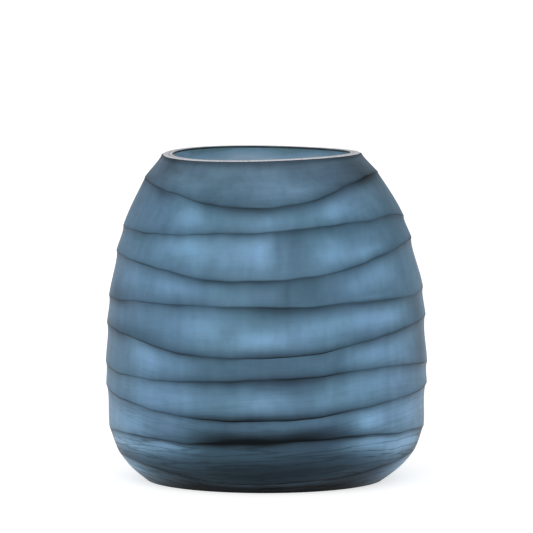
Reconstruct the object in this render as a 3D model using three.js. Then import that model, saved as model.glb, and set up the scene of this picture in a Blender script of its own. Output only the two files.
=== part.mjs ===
// A flower vase of cased glass: a beehive-shaped vessel, blown in two layers and cut by hand.
// The inner casing is the first gather of glass. It holds the water, and its floor is thick.
// The outer overlay is fused over all of it and is ground into ten wavy bands. The bands meet
// in nine ridges, and each band is hollowed deepest just below the ridge above it.
//
// Millimetres, +Z up. The origin is on the table, under the middle of the vase. The front is -Y.
import * as THREE from "three";
import { mergeVertices } from "three/addons/utils/BufferGeometryUtils.js";

// Driving dimensions
const RIM_HEIGHT = 275.4;
const RIM_RADIUS = 83.4;
const FOOT_RADIUS = 100;
const MOUTH_LEAN = 4.2; // how far the mouth sits to the left of the belly's middle
const LEAN_START = 152; // the height above which the vase leans
const FOOT_LEAN = 1.6; // how far the foot sits to the left
const FOOT_LEAN_TOP = 40; // the height below which it does
const RIM_SLOPE = 0.008; // the rim rises to the right by this much for each millimetre
const RIM_WAVE = 0.8; // and it waves, up at the front right and back left, down between them
const OUTER_BEVEL = 1.2;
const INNER_BEVEL = 0.8;
const OVERLAY_THICKNESS = 5;
const WALL_THICKNESS = 7.6; // both layers together, square to the wall

// The uncut shape's outline, as [height, radius], from the foot to the rim.
const OUTLINE = [
  [0, FOOT_RADIUS],
  [7, 109.2],
  [14, 116.8],
  [26, 125.7],
  [44, 132.6],
  [90, 135.5],
  [137, 134.3],
  [177, 129.7],
  [216, 119.1],
  [247, 105.5],
  [RIM_HEIGHT, RIM_RADIUS],
];

// The ridges between the cut bands, from the lowest up. Each is a level ring at its height that
// tilts (up to the right), bows (down at front and back, up at the sides), twists (up at the
// front right and back left) and wanders (four small waves around, from the hand at the wheel).
const WAVES = 4;
const RIDGES = [
  { height: 16.6, tilt: 0.5, bow: 8.5, twist: 0, wander: 0, phase: 0 },
  { height: 45.8, tilt: 0.3, bow: -0.2, twist: 1.7, wander: 1.3, phase: -1.1 },
  { height: 71.8, tilt: 0.6, bow: 8.5, twist: 2, wander: 0.7, phase: 1.2 },
  { height: 98.9, tilt: -0.4, bow: 0.6, twist: 5, wander: 0.2, phase: -2.2 },
  { height: 126, tilt: 3.4, bow: 10.2, twist: 1, wander: 0.8, phase: -0.7 },
  { height: 158.5, tilt: 3.9, bow: 0.4, twist: -1.9, wander: 0.4, phase: 0.5 },
  { height: 189.3, tilt: 5.3, bow: 10, twist: 0, wander: 0.8, phase: -2 },
  { height: 219.2, tilt: 3, bow: 0.2, twist: 3.1, wander: 1.2, phase: -2.6 },
  { height: 248.9, tilt: 2.1, bow: 9.8, twist: 1.2, wander: 1.7, phase: -1.6 },
];

// A band's hollow: its depth and where it is deepest, as shares of the band's height down from the
// ridge above, and how fast it falls away to the two ridges. The bevel above the foot has none.
const HOLLOW_DEPTH = 0.045;
const HOLLOW_DEEPEST = 0.3;
const HOLLOW_UNDER_RIDGE = 0.7;
const HOLLOW_TOWARDS_NEXT = 1.6;
const ROWS_PER_BAND = 3;
const SIDES = 60;

// The underside is ground flat in a ring around a shallow polished hollow.
const PUNT_RADIUS = 66;
const PUNT_DEPTH = 2.6;
const PUNT_ROWS = 3;

// Where the rounded bottom of a layer starts and ends, and how square it is.
const JOIN_BOTTOM = { floor: 8, top: 54, square: 2.3 };
const INSIDE_BOTTOM = { floor: 20, top: 68, square: 2.4 };
const BOTTOM_ROWS = 6;
const WALL_ROWS = 8;

// The outline's radius at a height, by cubic pieces through its points.
function outlineRadius(height) {
  const last = OUTLINE.length - 1;
  const slope = (i) => {
    const [low, high] = [OUTLINE[Math.max(i - 1, 0)], OUTLINE[Math.min(i + 1, last)]];
    return (high[1] - low[1]) / (high[0] - low[0]);
  };
  const at = OUTLINE.findLastIndex(([h]) => h <= height);
  const i = Math.min(Math.max(at, 0), last - 1);
  const [[h0, r0], [h1, r1]] = [OUTLINE[i], OUTLINE[i + 1]];
  const span = h1 - h0;
  const t = (height - h0) / span;
  return (
    r0 * (1 + 2 * t) * (1 - t) ** 2 +
    slope(i) * span * t * (1 - t) ** 2 +
    r1 * t * t * (3 - 2 * t) -
    slope(i + 1) * span * t * t * (1 - t)
  );
}

// The radius of a surface that lies a given thickness inside the outline.
function insideRadius(height, thickness) {
  const step = 0.5;
  const above = Math.min(height + step, RIM_HEIGHT);
  const slope = (outlineRadius(above) - outlineRadius(above - 2 * step)) / (2 * step);
  return outlineRadius(height) - thickness * Math.hypot(1, slope);
}

function ridgeHeight({ height, tilt, bow, twist, wander, phase }, angle) {
  return (
    height +
    tilt * Math.sin(angle) -
    bow * Math.cos(2 * angle) +
    twist * Math.sin(2 * angle) +
    wander * Math.sin(WAVES * angle + phase)
  );
}

// The cut outside at one angle, as [radius, height] points from the foot to the rim's bevel.
function cutOutline(angle) {
  const ridges = RIDGES.map((ridge) => ridgeHeight(ridge, angle));
  const edges = [0, ...ridges, RIM_HEIGHT - OUTER_BEVEL];
  const points = [[FOOT_RADIUS, 0]];
  for (let band = 1; band < edges.length; band++) {
    const span = edges[band] - edges[band - 1];
    const depth = band === 1 ? 0 : HOLLOW_DEPTH * span;
    for (let row = 1; row <= ROWS_PER_BAND; row++) {
      const down = 1 - row / ROWS_PER_BAND; // 0 at the upper ridge, 1 at the lower
      const height = edges[band] - span * down;
      const hollow =
        (down / HOLLOW_DEEPEST) ** HOLLOW_UNDER_RIDGE *
        ((1 - down) / (1 - HOLLOW_DEEPEST)) ** HOLLOW_TOWARDS_NEXT;
      points.push([outlineRadius(height) - depth * hollow, height]);
    }
  }
  return points;
}

// A layer's inner surface, as [radius, height] points from the axis up to just under the rim.
function smoothOutline(bottom, thickness, topHeight) {
  const { floor, top, square } = bottom;
  const reach = insideRadius(top, thickness);
  const points = [];
  for (let row = 0; row <= BOTTOM_ROWS; row++) {
    const turn = (Math.PI / 2) * (row / BOTTOM_ROWS);
    points.push([
      reach * Math.sin(turn) ** (2 / square),
      top - (top - floor) * Math.cos(turn) ** (2 / square),
    ]);
  }
  for (let row = 1; row <= WALL_ROWS; row++) {
    const height = top + ((topHeight - top) * row) / WALL_ROWS;
    points.push([insideRadius(height, thickness), height]);
  }
  return points;
}

function underside() {
  const points = [];
  for (let row = 0; row < PUNT_ROWS; row++) {
    const share = row / PUNT_ROWS;
    points.push([PUNT_RADIUS * share, PUNT_DEPTH * (1 - share * share)]);
  }
  points.push([PUNT_RADIUS, 0]);
  return points;
}

const joinOutline = smoothOutline(JOIN_BOTTOM, OVERLAY_THICKNESS, RIM_HEIGHT);
const insideOutline = smoothOutline(INSIDE_BOTTOM, WALL_THICKNESS, RIM_HEIGHT - INNER_BEVEL);
const mouthRadius = insideOutline.at(-1)[0];

// Leans a point of the upright shape: mouth and foot move left, and the rim slopes and waves.
function place(radius, height, angle) {
  const raised = Math.max(0, (height - LEAN_START) / (RIM_HEIGHT - LEAN_START)) ** 2;
  const sunk = Math.max(0, 1 - height / FOOT_LEAN_TOP) ** 2;
  const x = radius * Math.sin(angle) - MOUTH_LEAN * raised - FOOT_LEAN * sunk;
  const lift = RIM_SLOPE * x + RIM_WAVE * Math.sin(2 * angle);
  return [x, -radius * Math.cos(angle), height + lift * raised];
}

// Turns an outline that may change with the angle into one closed skin. The outline starts and
// ends on the axis.
function turned(outlineAt) {
  const rows = outlineAt(0).length;
  const blank = Array.from({ length: rows }, (_, row) => new THREE.Vector2(1, row));
  const geometry = new THREE.LatheGeometry(blank, SIDES);
  const position = geometry.getAttribute("position");
  for (let side = 0; side <= SIDES; side++) {
    const angle = (2 * Math.PI * (side % SIDES)) / SIDES;
    outlineAt(angle).forEach(([radius, height], row) => {
      position.setXYZ(side * rows + row, ...place(radius, height, angle));
    });
  }
  geometry.deleteAttribute("normal");
  geometry.deleteAttribute("uv");
  return mergeVertices(geometry);
}

// Turns each face to the other side, for an outline that runs the other way round its piece.
function facesReversed(geometry) {
  const index = geometry.getIndex();
  for (let i = 0; i < index.count; i += 3) {
    const [first, second] = [index.getX(i), index.getX(i + 1)];
    index.setX(i, second);
    index.setX(i + 1, first);
  }
  return geometry;
}

const overlay = new THREE.Mesh(
  turned((angle) => [
    ...underside(),
    ...cutOutline(angle),
    [RIM_RADIUS - OUTER_BEVEL, RIM_HEIGHT],
    ...joinOutline.toReversed(),
  ]),
  new THREE.MeshStandardMaterial({ color: 0x3d5f80, roughness: 0.5, metalness: 0 }),
);
overlay.name = "outer_cut_overlay";

// The casing's outline runs down the join as the overlay's does, so that the two share its faces.
const casing = new THREE.Mesh(
  facesReversed(
    turned(() => [
      ...insideOutline,
      [mouthRadius + INNER_BEVEL, RIM_HEIGHT],
      ...joinOutline.toReversed(),
    ]),
  ),
  new THREE.MeshStandardMaterial({ color: 0x5d8ea6, roughness: 0.15, metalness: 0 }),
);
casing.name = "inner_casing";

const vase = new THREE.Group();
vase.add(overlay, casing);

export default vase;
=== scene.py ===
"""A flower vase of cased glass, cut by hand into wavy bands and ground matt outside.

The two layers of glass are made again here from the same outline as the CAD model, with fine
rings, and each surface gets its own material: matt cut bands, ground rim, smooth inside.
"""

import math

import bpy
import numpy as np
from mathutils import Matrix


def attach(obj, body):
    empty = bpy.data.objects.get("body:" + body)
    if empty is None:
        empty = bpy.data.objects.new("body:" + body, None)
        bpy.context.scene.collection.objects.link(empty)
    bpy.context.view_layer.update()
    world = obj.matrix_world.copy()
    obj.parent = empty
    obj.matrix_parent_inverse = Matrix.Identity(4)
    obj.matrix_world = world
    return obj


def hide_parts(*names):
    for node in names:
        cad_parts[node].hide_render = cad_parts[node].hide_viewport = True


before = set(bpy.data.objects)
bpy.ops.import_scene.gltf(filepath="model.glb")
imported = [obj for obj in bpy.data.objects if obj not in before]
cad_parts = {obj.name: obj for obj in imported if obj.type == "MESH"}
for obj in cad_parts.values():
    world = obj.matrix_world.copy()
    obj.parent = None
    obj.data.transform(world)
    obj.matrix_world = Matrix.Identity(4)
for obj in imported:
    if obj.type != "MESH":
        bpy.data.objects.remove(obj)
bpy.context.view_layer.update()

# ---------------------------------------------------------------- the vase's shape, in millimetres
RIM_HEIGHT = 275.4
RIM_RADIUS = 83.4
FOOT_RADIUS = 100
MOUTH_LEAN = 4.2
LEAN_START = 152
FOOT_LEAN = 1.6
FOOT_LEAN_TOP = 40
RIM_SLOPE = 0.008
RIM_WAVE = 0.8
OUTER_BEVEL = 1.2
INNER_BEVEL = 0.8
EDGE_DEPTH = 1.6
OVERLAY_THICKNESS = 5
WALL_THICKNESS = 7.6
OUTLINE = [
    (0, FOOT_RADIUS),
    (7, 109.2),
    (14, 116.8),
    (26, 125.7),
    (44, 132.6),
    (90, 135.5),
    (137, 134.3),
    (177, 129.7),
    (216, 119.1),
    (247, 105.5),
    (RIM_HEIGHT, RIM_RADIUS),
]
# Each ridge's height, tilt, bow, twist, wander and the wander's phase, from the foot up.
RIDGES = [
    (16.6, 0.5, 8.5, 0, 0, 0),
    (45.8, 0.3, -0.2, 1.7, 1.3, -1.1),
    (71.8, 0.6, 8.5, 2, 0.7, 1.2),
    (98.9, -0.4, 0.6, 5, 0.2, -2.2),
    (126, 3.4, 10.2, 1, 0.8, -0.7),
    (158.5, 3.9, 0.4, -1.9, 0.4, 0.5),
    (189.3, 5.3, 10, 0, 0.8, -2),
    (219.2, 3, 0.2, 3.1, 1.2, -2.6),
    (248.9, 2.1, 9.8, 1.2, 1.7, -1.6),
]
WANDER_WAVES = 4
HAND_WANDER = 1.2
HAND_WAVES = (5, 8, 13, 21, 34)
HAND_SCALE = 2.6  # brings the sum of the hand's waves to about -1 to 1
HOLLOW_STRAY = 0.2
HOLLOW_DEPTH = 0.045
HOLLOW_DEEPEST = 0.3
HOLLOW_UNDER_RIDGE = 0.7
HOLLOW_TOWARDS_NEXT = 1.6
PUNT_RADIUS = 66
PUNT_DEPTH = 2.6
PUNT_ROWS = 12
JOIN_BOTTOM = {"floor": 8, "top": 54, "square": 2.3}
INSIDE_BOTTOM = {"floor": 20, "top": 68, "square": 2.4}

SIDES = 288
BOTTOM_ROWS = 16
WALL_ROWS = 12
ROWS_PER_BAND = 28
BAND_ROWS = [(1 + math.cos(math.pi * row / ROWS_PER_BAND)) / 2 for row in range(ROWS_PER_BAND + 1)]
ANGLES = np.linspace(0, 2 * math.pi, SIDES, endpoint=False)

heights, radii = (np.array(column, float) for column in zip(*OUTLINE))
slopes = np.empty_like(radii)
slopes[1:-1] = (radii[2:] - radii[:-2]) / (heights[2:] - heights[:-2])
slopes[0], slopes[-1] = (
    (radii[1] - radii[0]) / (heights[1] - heights[0]),
    (radii[-1] - radii[-2]) / (heights[-1] - heights[-2]),
)


def outline_radius(height):
    """The uncut shape's radius at a height, by cubic pieces through the outline's points."""
    height = np.asarray(height, float)
    i = np.clip(np.searchsorted(heights, height, side="right") - 1, 0, len(heights) - 2)
    span = heights[i + 1] - heights[i]
    t = (height - heights[i]) / span
    return (
        radii[i] * (1 + 2 * t) * (1 - t) ** 2
        + slopes[i] * span * t * (1 - t) ** 2
        + radii[i + 1] * t * t * (3 - 2 * t)
        - slopes[i + 1] * span * t * t * (1 - t)
    )


def inside_radius(height, thickness):
    above = np.minimum(np.asarray(height, float) + 0.5, RIM_HEIGHT)
    slope = outline_radius(above) - outline_radius(above - 1)
    return outline_radius(height) - thickness * np.hypot(1, slope)


def place(radius, height, angle=ANGLES):
    """Points of the leaning vase, in metres, for points of the upright one."""
    radius = np.broadcast_to(radius, angle.shape)
    height = np.broadcast_to(height, angle.shape)
    raised = np.clip((height - LEAN_START) / (RIM_HEIGHT - LEAN_START), 0, None) ** 2
    sunk = np.clip(1 - height / FOOT_LEAN_TOP, 0, None) ** 2
    x = radius * np.sin(angle) - MOUTH_LEAN * raised - FOOT_LEAN * sunk
    y = -radius * np.cos(angle)
    lift = RIM_SLOPE * x + RIM_WAVE * np.sin(2 * angle)
    return np.stack([x, y, height + lift * raised], axis=-1) / 1000


def unsteady(seed, angle=ANGLES):
    """How the hand at the wheel strays around the vase, about -1 to 1, and for each seed anew."""
    strays = (np.sin(waves * angle + seed * waves**2) / waves for waves in HAND_WAVES)
    return sum(strays) * HAND_SCALE


def ridge_height(ridge, angle=ANGLES):
    height, tilt, bow, twist, wander, phase = ridge
    return (
        height
        + tilt * np.sin(angle)
        - bow * np.cos(2 * angle)
        + twist * np.sin(2 * angle)
        + wander * np.sin(WANDER_WAVES * angle + phase)
        + HAND_WANDER * unsteady(height, angle)
    )


# ---------------------------------------------------------------- how light the glass looks
# The wheel has ground the overlay to a changing thickness, and the colour here holds both that and
# painted light and shade. Where it is thin the glass is pale, and where it is thick, at the ridges
# and above the heavy foot, it is dark. Pale patches are partly thinner glass and partly painted
# light: pools of light through the glass and the paler sides of the foot. Dark patches are partly
# thicker glass and partly painted shade, such as the darker middle of the foot. Each band, from the
# lowest up, has a level and then patches that are paler or darker than it: [angle in degrees from
# the front, place down the band, half-width in degrees, half-height as a share of the band,
# strength]. The same patches lie on the far side.
BANDS = [
    (
        0.11,
        [
            (-72, 0.3, 24, 0.5, 0.46),
            (75, 0.3, 23, 0.6, 0.44),
            (0, 0.05, 45, 0.3, 0.14),
            (0, 0.9, 50, 0.5, -0.22),
        ],
    ),
    (
        0.28,
        [
            (-64, 0.3, 21, 0.35, 0.5),
            (-82, 0.4, 12, 0.6, 0.14),
            (-38, 0.12, 12, 0.22, 0.32),
            (0, 0.15, 30, 0.25, 0.06),
            (0, 0.75, 40, 0.45, -0.2),
            (40, 0.16, 11, 0.22, 0.42),
            (62, 0.35, 17, 0.4, 0.6),
        ],
    ),
    (
        0.66,
        [
            (0, 1, 33, 0.6, -0.62),
            (-20, 0.6, 12, 0.3, -0.12),
            (20, 0.6, 12, 0.3, -0.12),
            (-60, 0.7, 15, 0.4, 0.13),
            (40, 0.5, 7, 0.35, 0.34),
            (62, 0.5, 10, 0.4, 0.14),
        ],
    ),
    (
        0.625,
        [
            (-20, 0.6, 9, 0.4, -0.1),
            (4, 0, 24, 0.3, -0.28),
            (0, 1, 27, 0.16, -0.45),
            (-50, 0.6, 13, 0.5, 0.1),
            (-31, 0.4, 8, 0.4, 0.08),
            (0, 0.55, 16, 0.14, 0.1),
            (12, 0.5, 7, 0.3, -0.12),
            (37, 0.5, 13, 0.4, 0.12),
            (50, 0.4, 8, 0.3, 0.12),
        ],
    ),
    (
        0.575,
        [
            (-66, 0, 12, 0.2, -0.08),
            (0, 0.75, 25, 0.5, -0.12),
            (6, 1, 24, 0.2, -0.12),
            (5, 0, 18, 0.15, 0.12),
            (-49, 0.45, 9, 0.4, 0.26),
            (-34, 0.4, 8, 0.4, 0.08),
            (38, 0.5, 9, 0.35, 0.2),
            (54, 0.55, 9, 0.4, 0.2),
            (74, 0.6, 6, 0.8, -0.1),
        ],
    ),
    (
        0.59,
        [
            (-66, 0, 12, 0.2, -0.12),
            (-66, 1, 12, 0.35, -0.12),
            (6, 0, 20, 0.3, -0.2),
            (32, 0, 12, 0.15, -0.12),
            (3, 1, 30, 0.14, -0.24),
            (-50, 0.85, 14, 0.25, -0.1),
            (-24, 0.4, 12, 0.3, 0.14),
            (-2, 0.65, 9, 0.18, 0.22),
            (18, 0.45, 9, 0.25, 0.22),
            (36, 0.45, 9, 0.25, 0.18),
            (50, 0.5, 9, 0.3, 0.24),
            (72, 0.6, 6, 0.6, -0.1),
        ],
    ),
    (
        0.595,
        [
            (-72, 0.95, 10, 0.4, -0.18),
            (12, 0.4, 13, 0.8, -0.14),
            (-22, 0, 8, 0.2, -0.12),
            (-62, 0.45, 9, 0.3, 0.14),
            (-36, 0.45, 13, 0.3, 0.13),
            (38, 0.45, 9, 0.3, 0.13),
            (50, 0.35, 7, 0.3, 0.14),
            (7.5, 0.5, 1.2, 0.4, -0.07),
            (42, 0.88, 9, 0.04, 0.1),
        ],
    ),
    (
        0.61,
        [
            (14, 0, 18, 0.2, -0.15),
            (11, 0.5, 5, 0.6, -0.1),
            (4.5, 0.35, 1.5, 0.4, -0.08),
            (-32, 0.3, 12, 0.3, 0.2),
            (-14, 0.55, 5, 0.4, 0.1),
            (-3, 0.4, 6, 0.45, 0.2),
            (28, 0.6, 8, 0.25, 0.2),
            (42, 0.75, 9, 0.15, 0.18),
            (66, 0.4, 12, 0.8, -0.08),
        ],
    ),
    (
        0.595,
        [
            (2, 0, 25, 0.28, -0.17),
            (58, 0, 20, 0.18, -0.25),
            (-52, 0, 8, 0.2, -0.14),
            (-33, 0.5, 8, 0.35, 0.2),
            (0, 0.6, 18, 0.25, 0.08),
            (31, 0.5, 9, 0.35, 0.2),
            (46, 0.6, 9, 0.3, 0.09),
            (72, 0.5, 12, 0.8, -0.07),
        ],
    ),
    (
        0.5,
        [
            (0, 0, 90, 0.12, -0.22),
            (-62, 0.1, 9, 0.4, -0.14),
            (60, 0.4, 17, 0.8, -0.12),
            (-42, 0.65, 13, 0.25, 0.1),
            (-22, 0.4, 8, 0.3, 0.06),
            (0, 0.5, 13, 0.32, 0.13),
            (20, 0.7, 12, 0.2, 0.14),
        ],
    ),
]
# How dark each ridge is, from the lowest up: painted shade, on glass that is also thickest there.
# Above it there is a thin line with soft shade, and below it soft shade alone. Each has a usual
# share of that darkness, and strays from it.
RIDGE_DARKNESS = [0.18, 0.4, 0.42, 0.36, 0.38, 0.34, 0.4, 0.36, 0.33]
LINE_WIDTH = 0.8
SHADE_WIDTH = 4.2
LINE_SHARE, LINE_STRAY = 0.5, 0.3
ABOVE_SHARE, ABOVE_STRAY = 0.45, 0.25
BELOW_SHARE, BELOW_STRAY = 0.75, 0.4
# How strongly the wheel's strokes show in each band.
STROKES = [0.7, 0.6, 0.18, 0.1, 0.06, 0.05, 0.04, 0.04, 0.04, 0.08]


def lightness(band, down, span):
    """How light the glass is at a height in a band, for every angle, with its painted light and
    shade: 0 near black, 1 palest.
    """
    level, patches = BANDS[band]
    light = np.full(SIDES, float(level))
    for angle, centre, width, height, strength in patches:
        near = math.exp(-(((down - centre) / height) ** 2))
        for turn in (0, math.pi):
            off = (ANGLES - math.radians(angle) - turn + math.pi) % (2 * math.pi) - math.pi
            light += strength * near * np.exp(-((off / math.radians(width)) ** 2))
    # Painted shade: a thin line and soft shade above each ridge, and soft shade below it.
    if band > 0:
        away = (1 - down) * span
        line = np.exp(-((away / LINE_WIDTH) ** 2))
        line *= LINE_SHARE + LINE_STRAY * unsteady(band + 0.3)
        shade = np.exp(-away / SHADE_WIDTH) * (ABOVE_SHARE + ABOVE_STRAY * unsteady(band + 0.7))
        light -= RIDGE_DARKNESS[band - 1] * (line + shade)
    if band < len(RIDGES):
        shade = np.exp(-down * span / SHADE_WIDTH) * (1 + BELOW_STRAY * unsteady(band + 0.9))
        light -= RIDGE_DARKNESS[band] * BELOW_SHARE * shade
    return np.clip(light, 0, 1)


# ---------------------------------------------------------------- the surfaces, ring by ring
def cut_rings():
    """The cut outside, from the foot to the rim's bevel, and for each ring how light its points
    are, painted light and shade included, how strongly the wheel's strokes show there and how
    far below the ridge above they lie.
    Rings crowd together at the ridges."""
    edges = [0, *(ridge_height(ridge) for ridge in RIDGES), RIM_HEIGHT - OUTER_BEVEL]
    rings = [place(FOOT_RADIUS, 0)]
    lights = [np.full(SIDES, float(BANDS[0][0]))]
    strokes = [np.full(SIDES, STROKES[0])]
    drops = [edges[1] / 1000]
    for band, (low, high) in enumerate(zip(edges, edges[1:])):
        span = high - low
        depth = 0 if band == 0 else HOLLOW_DEPTH * span * (1 + HOLLOW_STRAY * unsteady(band))
        for down in BAND_ROWS[1:]:
            height = high - span * down
            hollow = (down / HOLLOW_DEEPEST) ** HOLLOW_UNDER_RIDGE
            hollow *= ((1 - down) / (1 - HOLLOW_DEEPEST)) ** HOLLOW_TOWARDS_NEXT
            rings.append(place(outline_radius(height) - depth * hollow, height))
            lights.append(lightness(band, down, span))
            strokes.append(np.full(SIDES, STROKES[band]))
            drops.append(span * down / 1000)
    return rings, lights, strokes, drops


def smooth_rings(floor, top, square, thickness, top_height):
    """A layer's smooth inner surface: a point on the axis, then rings up to just under the rim."""
    reach = float(inside_radius(top, thickness))
    rings = [place(0, floor, ANGLES[:1])]
    for turn in np.linspace(0, math.pi / 2, BOTTOM_ROWS + 1)[1:]:
        rise = max(math.cos(turn), 0) ** (2 / square)
        rings.append(place(reach * math.sin(turn) ** (2 / square), top - (top - floor) * rise))
    for height in np.linspace(top, top_height, WALL_ROWS + 1)[1:]:
        rings.append(place(inside_radius(height, thickness), height))
    return rings


def skin(name, zones):
    """A closed mesh through zones of rings, given as (material, rings). Each zone carries on from
    the last one's last ring, and a ring of one point closes an end."""
    points, faces, slots = [], [], []
    last = None
    for slot, (material, rings) in enumerate(zones):
        for ring in rings:
            start = sum(map(len, points))
            points.append(ring)
            if last is not None:
                size = len(points[-2])
                for side in range(SIDES):
                    after = (side + 1) % SIDES
                    below = [last] if size == 1 else [last + side, last + after]
                    above = [start] if len(ring) == 1 else [start + after, start + side]
                    faces.append(below + above)
                    slots.append(slot)
            last = start
    mesh = bpy.data.meshes.new(name)
    mesh.from_pydata(np.concatenate(points).tolist(), [], faces)
    for material, _ in zones:
        mesh.materials.append(material)
    mesh.polygons.foreach_set("material_index", slots)
    mesh.polygons.foreach_set("use_smooth", [True] * len(faces))
    piece = bpy.data.objects.new(name, mesh)
    bpy.context.collection.objects.link(piece)
    return piece


join = smooth_rings(**JOIN_BOTTOM, thickness=OVERLAY_THICKNESS, top_height=RIM_HEIGHT)
inside = smooth_rings(
    **INSIDE_BOTTOM, thickness=WALL_THICKNESS, top_height=RIM_HEIGHT - INNER_BEVEL
)
mouth_radius = float(inside_radius(RIM_HEIGHT - INNER_BEVEL, WALL_THICKNESS))
underside = [place(0, PUNT_DEPTH, ANGLES[:1])]
for share in np.linspace(0, 1, PUNT_ROWS + 1)[1:]:
    underside.append(place(PUNT_RADIUS * share, PUNT_DEPTH * (1 - share * share)))


# ---------------------------------------------------------------- materials
# The overlay's colour from darkest, 0, to palest, 1: its own blue from thickest to thinnest glass,
# together with the painted light and shade of the bands and ridges.
OVERLAY_COLOURS = [
    (0, (0.004, 0.006, 0.008)),
    (0.15, (0.017, 0.031, 0.046)),
    (0.31, (0.036, 0.073, 0.115)),
    (0.47, (0.07, 0.143, 0.222)),
    (0.63, (0.126, 0.244, 0.378)),
    (0.79, (0.205, 0.385, 0.6)),
    (1, (0.32, 0.58, 0.9)),
]
# The inside's colour from dark to pale, which carries its painted light and shade.
CASING_COLOURS = [(0.3, (0.2, 0.36, 0.4)), (0.55, (0.4, 0.64, 0.8)), (0.85, (0.7, 0.87, 1))]
RIM_COLOURS = [(0.35, (0.5, 0.5, 0.52)), (0.5, (0.7, 0.71, 0.75)), (0.65, (0.9, 0.93, 1))]
# The mouth edge's near-black colours are painted shade.
EDGE_COLOURS = [(0.3, (0.1, 0.15, 0.16)), (0.8, (0.008, 0.013, 0.018))]
GLASS_IOR = 1.5

# The cut glass: how far each texture shifts the lightness, as a share of it.
CLOUD_AMOUNT = 0.34
SMUDGE_AMOUNT = 0.2
STREAK_AMOUNT = 0.15
STROKE_SHARPNESS = 22
STROKE_LINES = 0.6  # the share of thin lines in the strokes, the rest being fine grain
STROKE_DEPTH = 0.001
GREYING_START = 0.235  # above this height the colour loses saturation, so much for each metre
GREYING = -4
HUE, HUE_STRAY = 0.494, 0.03
ROUGHNESS, ROUGHNESS_STRAY = 0.5, 0.2
CLEARNESS = 0.5  # how much light the palest glass lets through
COAT_SHARE = 0.8

# The inside: painted light, pale from the rim down to a first depth, and painted shade, darker
# below a second one.
PALE_DEPTH, PALE_RISE, RIM_LIGHT = 0.015, 50, 0.22
DARK_DEPTH, DARK_FALL = 0.03, -3
INSIDE_SMOKE = 0.8
# A faint glow painted on the inside, in place of daylight through the wall.
INSIDE_PAINTED_GLOW = 0.03

RIM_LIFT = 0.04
RIM_GRIT = 0.0002
# The mouth edge's painted shade, and how smoky it is.
EDGE_DARKNESS, EDGE_SMOKE = 0.62, 0.6


class Material:
    """A material's nodes, and the few ways that the glasses put them together."""

    def __init__(self, name, roughness, specular, transmission):
        self.made = bpy.data.materials.new(name)
        self.made.use_nodes = True
        self.nodes = self.made.node_tree.nodes
        self.links = self.made.node_tree.links
        self.shader = self.nodes["Principled BSDF"]
        self.shader.inputs["Roughness"].default_value = roughness
        self.shader.inputs["IOR"].default_value = GLASS_IOR
        self.shader.inputs["Specular IOR Level"].default_value = specular
        self.shader.inputs["Transmission Weight"].default_value = transmission
        self.place = self.nodes.new("ShaderNodeTexCoord").outputs["Object"]

    def attribute(self, name):
        node = self.nodes.new("ShaderNodeAttribute")
        node.attribute_name = name
        return node.outputs["Fac"]

    def part_of_place(self, axis):
        node = self.nodes.new("ShaderNodeSeparateXYZ")
        self.links.new(self.place, node.inputs["Vector"])
        return node.outputs[axis]

    def along_bands(self):
        """A point's X and Y, with how far it is below the ridge above it as Z."""
        joined = self.nodes.new("ShaderNodeCombineXYZ")
        self.links.new(self.part_of_place("X"), joined.inputs["X"])
        self.links.new(self.part_of_place("Y"), joined.inputs["Y"])
        self.links.new(self.attribute("drop"), joined.inputs["Z"])
        return joined.outputs["Vector"]

    def noise(self, scale, detail, place=None):
        """Noise with so many features in a metre along X, Y and Z."""
        stretch = self.nodes.new("ShaderNodeMapping")
        stretch.inputs["Scale"].default_value = scale
        self.links.new(place or self.place, stretch.inputs["Vector"])
        texture = self.nodes.new("ShaderNodeTexNoise")
        texture.inputs["Scale"].default_value = 1
        texture.inputs["Detail"].default_value = detail
        self.links.new(stretch.outputs["Vector"], texture.inputs["Vector"])
        return texture.outputs["Fac"]

    def math(self, operation, *values):
        node = self.nodes.new("ShaderNodeMath")
        node.operation = operation
        for socket, value in zip(node.inputs, values):
            if isinstance(value, (int, float)):
                socket.default_value = value
            else:
                self.links.new(value, socket)
        return node.outputs[0]

    def stirred(self, value, texture, amount):
        """value + (texture - 0.5) * amount"""
        return self.math("MULTIPLY_ADD", self.math("SUBTRACT", texture, 0.5), amount, value)

    def ramp(self, value, colours):
        node = self.nodes.new("ShaderNodeValToRGB")
        elements = node.color_ramp.elements
        for element, (position, colour) in zip(elements, (colours[0], colours[-1])):
            element.position, element.color = position, (*colour, 1)
        for position, colour in colours[1:-1]:
            elements.new(position).color = (*colour, 1)
        self.links.new(value, node.inputs["Fac"])
        return node.outputs["Color"]

    def paint(self, colour):
        self.links.new(colour, self.shader.inputs["Base Color"])

    def rough(self, value):
        self.links.new(value, self.shader.inputs["Roughness"])

    def bump(self, height, depth):
        """Bumps as high as height times depth, in metres."""
        node = self.nodes.new("ShaderNodeBump")
        node.inputs["Distance"].default_value = depth
        self.links.new(height, node.inputs["Height"])
        self.links.new(node.outputs["Normal"], self.shader.inputs["Normal"])


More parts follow.
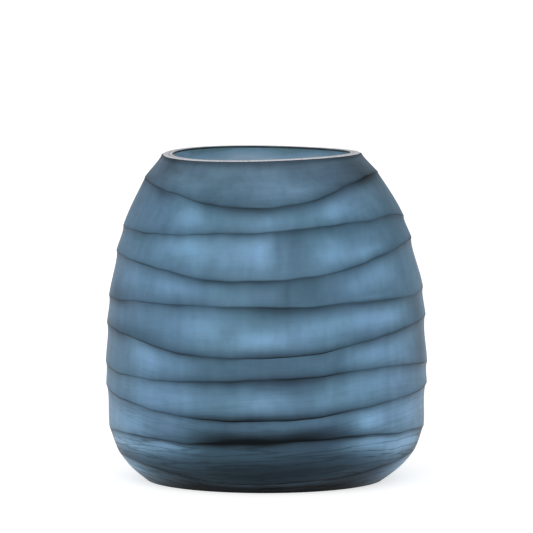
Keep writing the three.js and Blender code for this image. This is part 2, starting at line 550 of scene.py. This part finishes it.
def cut_glass():
    """The ground outside: clouded, with faint streaks up the wall, and with the strokes of the
    wheel, which follow the bands as fine lines and are strongest near the foot."""
    glass = Material("cut_glass", ROUGHNESS, 0.03, 0.3)
    glass.shader.inputs["Coat Roughness"].default_value = 0.35
    glass.shader.inputs["Coat IOR"].default_value = 1.3
    clouds = glass.noise((30, 30, 40), 4)
    streaks = glass.noise((130, 130, 8), 2)
    along = glass.along_bands()
    fine = glass.noise((30, 30, 500), 3, along)
    smudges = glass.noise((110, 110, 60), 4)
    # A stroke is a thin wavy line, where a stretched noise passes its middle value.
    marks = glass.noise((9, 9, 150), 3, along)
    marks = glass.math("ABSOLUTE", glass.math("SUBTRACT", marks, 0.5))
    marks = glass.math("MINIMUM", glass.math("MULTIPLY", marks, STROKE_SHARPNESS), 1)
    lines = glass.math("SUBTRACT", marks, fine)
    strokes = glass.math("MULTIPLY_ADD", lines, STROKE_LINES, fine)
    cloudy = glass.stirred(glass.stirred(1, clouds, CLOUD_AMOUNT), smudges, SMUDGE_AMOUNT)
    cloudy = glass.stirred(cloudy, streaks, STREAK_AMOUNT)
    cloudy = glass.stirred(cloudy, strokes, glass.attribute("strokes"))
    # The "light" attribute holds the bands' colour with their painted light and shade.
    light = glass.math("MULTIPLY", glass.attribute("light"), cloudy)
    tint = glass.nodes.new("ShaderNodeHueSaturation")
    above = glass.math("SUBTRACT", glass.part_of_place("Z"), GREYING_START)
    saturation = glass.math("MULTIPLY_ADD", glass.math("MAXIMUM", above, 0), GREYING, 1)
    glass.links.new(saturation, tint.inputs["Saturation"])
    glass.links.new(glass.stirred(HUE, glass.noise((16, 16, 16), 2), HUE_STRAY), tint.inputs["Hue"])
    glass.links.new(glass.ramp(light, OVERLAY_COLOURS), tint.inputs["Color"])
    glass.paint(tint.outputs["Color"])
    glass.rough(glass.stirred(ROUGHNESS, clouds, ROUGHNESS_STRAY))
    clear = glass.math("MAXIMUM", glass.math("MULTIPLY", light, CLEARNESS), 0)
    glass.links.new(clear, glass.shader.inputs["Transmission Weight"])
    glass.links.new(glass.math("MULTIPLY", clear, COAT_SHARE), glass.shader.inputs["Coat Weight"])
    glass.bump(glass.math("MULTIPLY", strokes, glass.attribute("strokes")), STROKE_DEPTH)
    return glass.made


def inside_glass():
    """The smooth inside, teal, with painted light palest a little way below the rim, painted shade
    darker towards the floor and a faint painted glow all over.
    """
    glass = Material("inside_glass", 0.12, 0.5, 0.05)
    # A faint painted glow, in place of daylight through the wall.
    glass.shader.inputs["Emission Color"].default_value = (0.6, 0.8, 1, 1)
    glass.shader.inputs["Emission Strength"].default_value = INSIDE_PAINTED_GLOW
    # Painted light near the rim, and painted shade deeper down.
    below_rim = glass.math("SUBTRACT", RIM_HEIGHT / 1000, glass.part_of_place("Z"))
    light = glass.math("MINIMUM", below_rim, PALE_DEPTH)
    light = glass.math("MULTIPLY_ADD", light, PALE_RISE, RIM_LIGHT)
    deeper = glass.math("MAXIMUM", glass.math("SUBTRACT", below_rim, DARK_DEPTH), 0)
    light = glass.math("MULTIPLY_ADD", deeper, DARK_FALL, light)
    smoke = glass.noise((26, 26, 45), 4)
    glass.paint(glass.ramp(glass.stirred(light, smoke, INSIDE_SMOKE), CASING_COLOURS))
    return glass.made


def ground_rim():
    """The rim's flat top and outer bevel, ground matt and speckled."""
    glass = Material("ground_rim", 0.6, 0.3, 0.1)
    speckles = glass.noise((900, 900, 900), 2)
    glass.paint(glass.ramp(glass.math("ADD", speckles, RIM_LIFT), RIM_COLOURS))
    glass.bump(speckles, RIM_GRIT)
    return glass.made


def mouth_edge():
    """The polished inner bevel of the rim, near black in painted shade for the glass's depth that
    it shows.
    """
    glass = Material("mouth_edge", 0.2, 0.02, 0)
    smoke = glass.noise((40, 40, 40), 2)
    glass.paint(glass.ramp(glass.stirred(EDGE_DARKNESS, smoke, EDGE_SMOKE), EDGE_COLOURS))
    return glass.made


def join_glass():
    """The fused meeting face of the two layers, which light passes as if it weren't there."""
    glass = Material("join_glass", 0, 0, 1)
    clear = glass.nodes.new("ShaderNodeBsdfTransparent")
    glass.links.new(clear.outputs[0], glass.nodes["Material Output"].inputs["Surface"])
    return glass.made


# ---------------------------------------------------------------- the pieces
cut, cut_light, cut_strokes, cut_drops = cut_rings()
bevel_middle = place(RIM_RADIUS - OUTER_BEVEL / 2, RIM_HEIGHT - OUTER_BEVEL / 2)
rim_edge = place(RIM_RADIUS - OUTER_BEVEL, RIM_HEIGHT)
mouth_ring = place(mouth_radius + INNER_BEVEL, RIM_HEIGHT)
edge_end = place(inside_radius(RIM_HEIGHT - EDGE_DEPTH, WALL_THICKNESS), RIM_HEIGHT - EDGE_DEPTH)
outside, rim, edge = cut_glass(), ground_rim(), mouth_edge()
smooth, joined = inside_glass(), join_glass()
overlay = skin(
    "cut_overlay",
    [
        (outside, underside),
        (outside, [*cut, bevel_middle]),
        (rim, [rim_edge, join[-1]]),
        (joined, join[-2::-1]),
    ],
)
casing = skin(
    "clear_casing",
    [
        (joined, join),
        (rim, [mouth_ring]),
        (edge, [inside[-1], edge_end]),
        (smooth, inside[-2::-1]),
    ],
)
first = sum(map(len, underside))
for name, rest, rings in (
    ("light", 0.2, cut_light),
    ("strokes", 0.3, cut_strokes),
    ("drop", 0.0, cut_drops),
):
    values = np.full(len(overlay.data.vertices), rest)
    values[first : first + SIDES * len(cut)] = np.concatenate(rings)
    overlay.data.attributes.new(name, "FLOAT", "POINT").data.foreach_set("value", values)
for piece, node, slot in (
    (overlay, "outer_cut_overlay", "overlay_glass"),
    (casing, "inner_casing", "casing_glass"),
):
    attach(piece, "root")
    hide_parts(node)

# ---------------------------------------------------------------- floor, light and camera
FLOOR_REACH = 30
FLOOR_COLOUR = (0.7, 0.7, 0.7, 1)
FLOOR_GLOW = 0.65
SKY_STRENGTH = 0.53
LAMP_STRENGTH = 1.25
LAMP_WIDTH = math.radians(70)
LAMP_TURN = (math.radians(60), 0, math.radians(-12))
CAMERA_LENS = 418.7
CAMERA_SENSOR = 36
CAMERA_PLACE = (0, -5.2, 0.6848)
CAMERA_DIP = 5.553

floor_mesh = bpy.data.meshes.new("floor")
corners = [(x * FLOOR_REACH, y * FLOOR_REACH, 0) for x, y in ((-1, -1), (1, -1), (1, 1), (-1, 1))]
floor_mesh.from_pydata(corners, [], [(0, 1, 2, 3)])
floor = bpy.data.objects.new("floor", floor_mesh)
bpy.context.collection.objects.link(floor)
floor_paint = Material("floor_paint", 0.9, 0.5, 0)
floor_paint.shader.inputs["Base Color"].default_value = FLOOR_COLOUR
floor_paint.shader.inputs["Emission Color"].default_value = (1, 1, 1, 1)
floor_paint.shader.inputs["Emission Strength"].default_value = FLOOR_GLOW
floor_mesh.materials.append(floor_paint.made)

world = bpy.data.worlds.new("studio")
bpy.context.scene.world = world
world.use_nodes = True
world.node_tree.nodes["Background"].inputs["Color"].default_value = (1, 1, 1, 1)
world.node_tree.nodes["Background"].inputs["Strength"].default_value = SKY_STRENGTH

# A wide soft light from in front, a little to the left.
lamp_data = bpy.data.lights.new("softbox", "SUN")
lamp_data.energy = LAMP_STRENGTH
lamp_data.angle = LAMP_WIDTH
lamp = bpy.data.objects.new("softbox", lamp_data)
lamp.rotation_euler = LAMP_TURN
bpy.context.collection.objects.link(lamp)

camera_data = bpy.data.cameras.new("camera")
camera_data.lens = CAMERA_LENS
camera_data.sensor_width = CAMERA_SENSOR
camera_data.clip_end = 100
camera = bpy.data.objects.new("camera", camera_data)
camera.location = CAMERA_PLACE
camera.rotation_euler = (math.radians(90 - CAMERA_DIP), 0, 0)
bpy.context.collection.objects.link(camera)
bpy.context.scene.camera = camera
bpy.context.scene.view_settings.view_transform = "Standard"
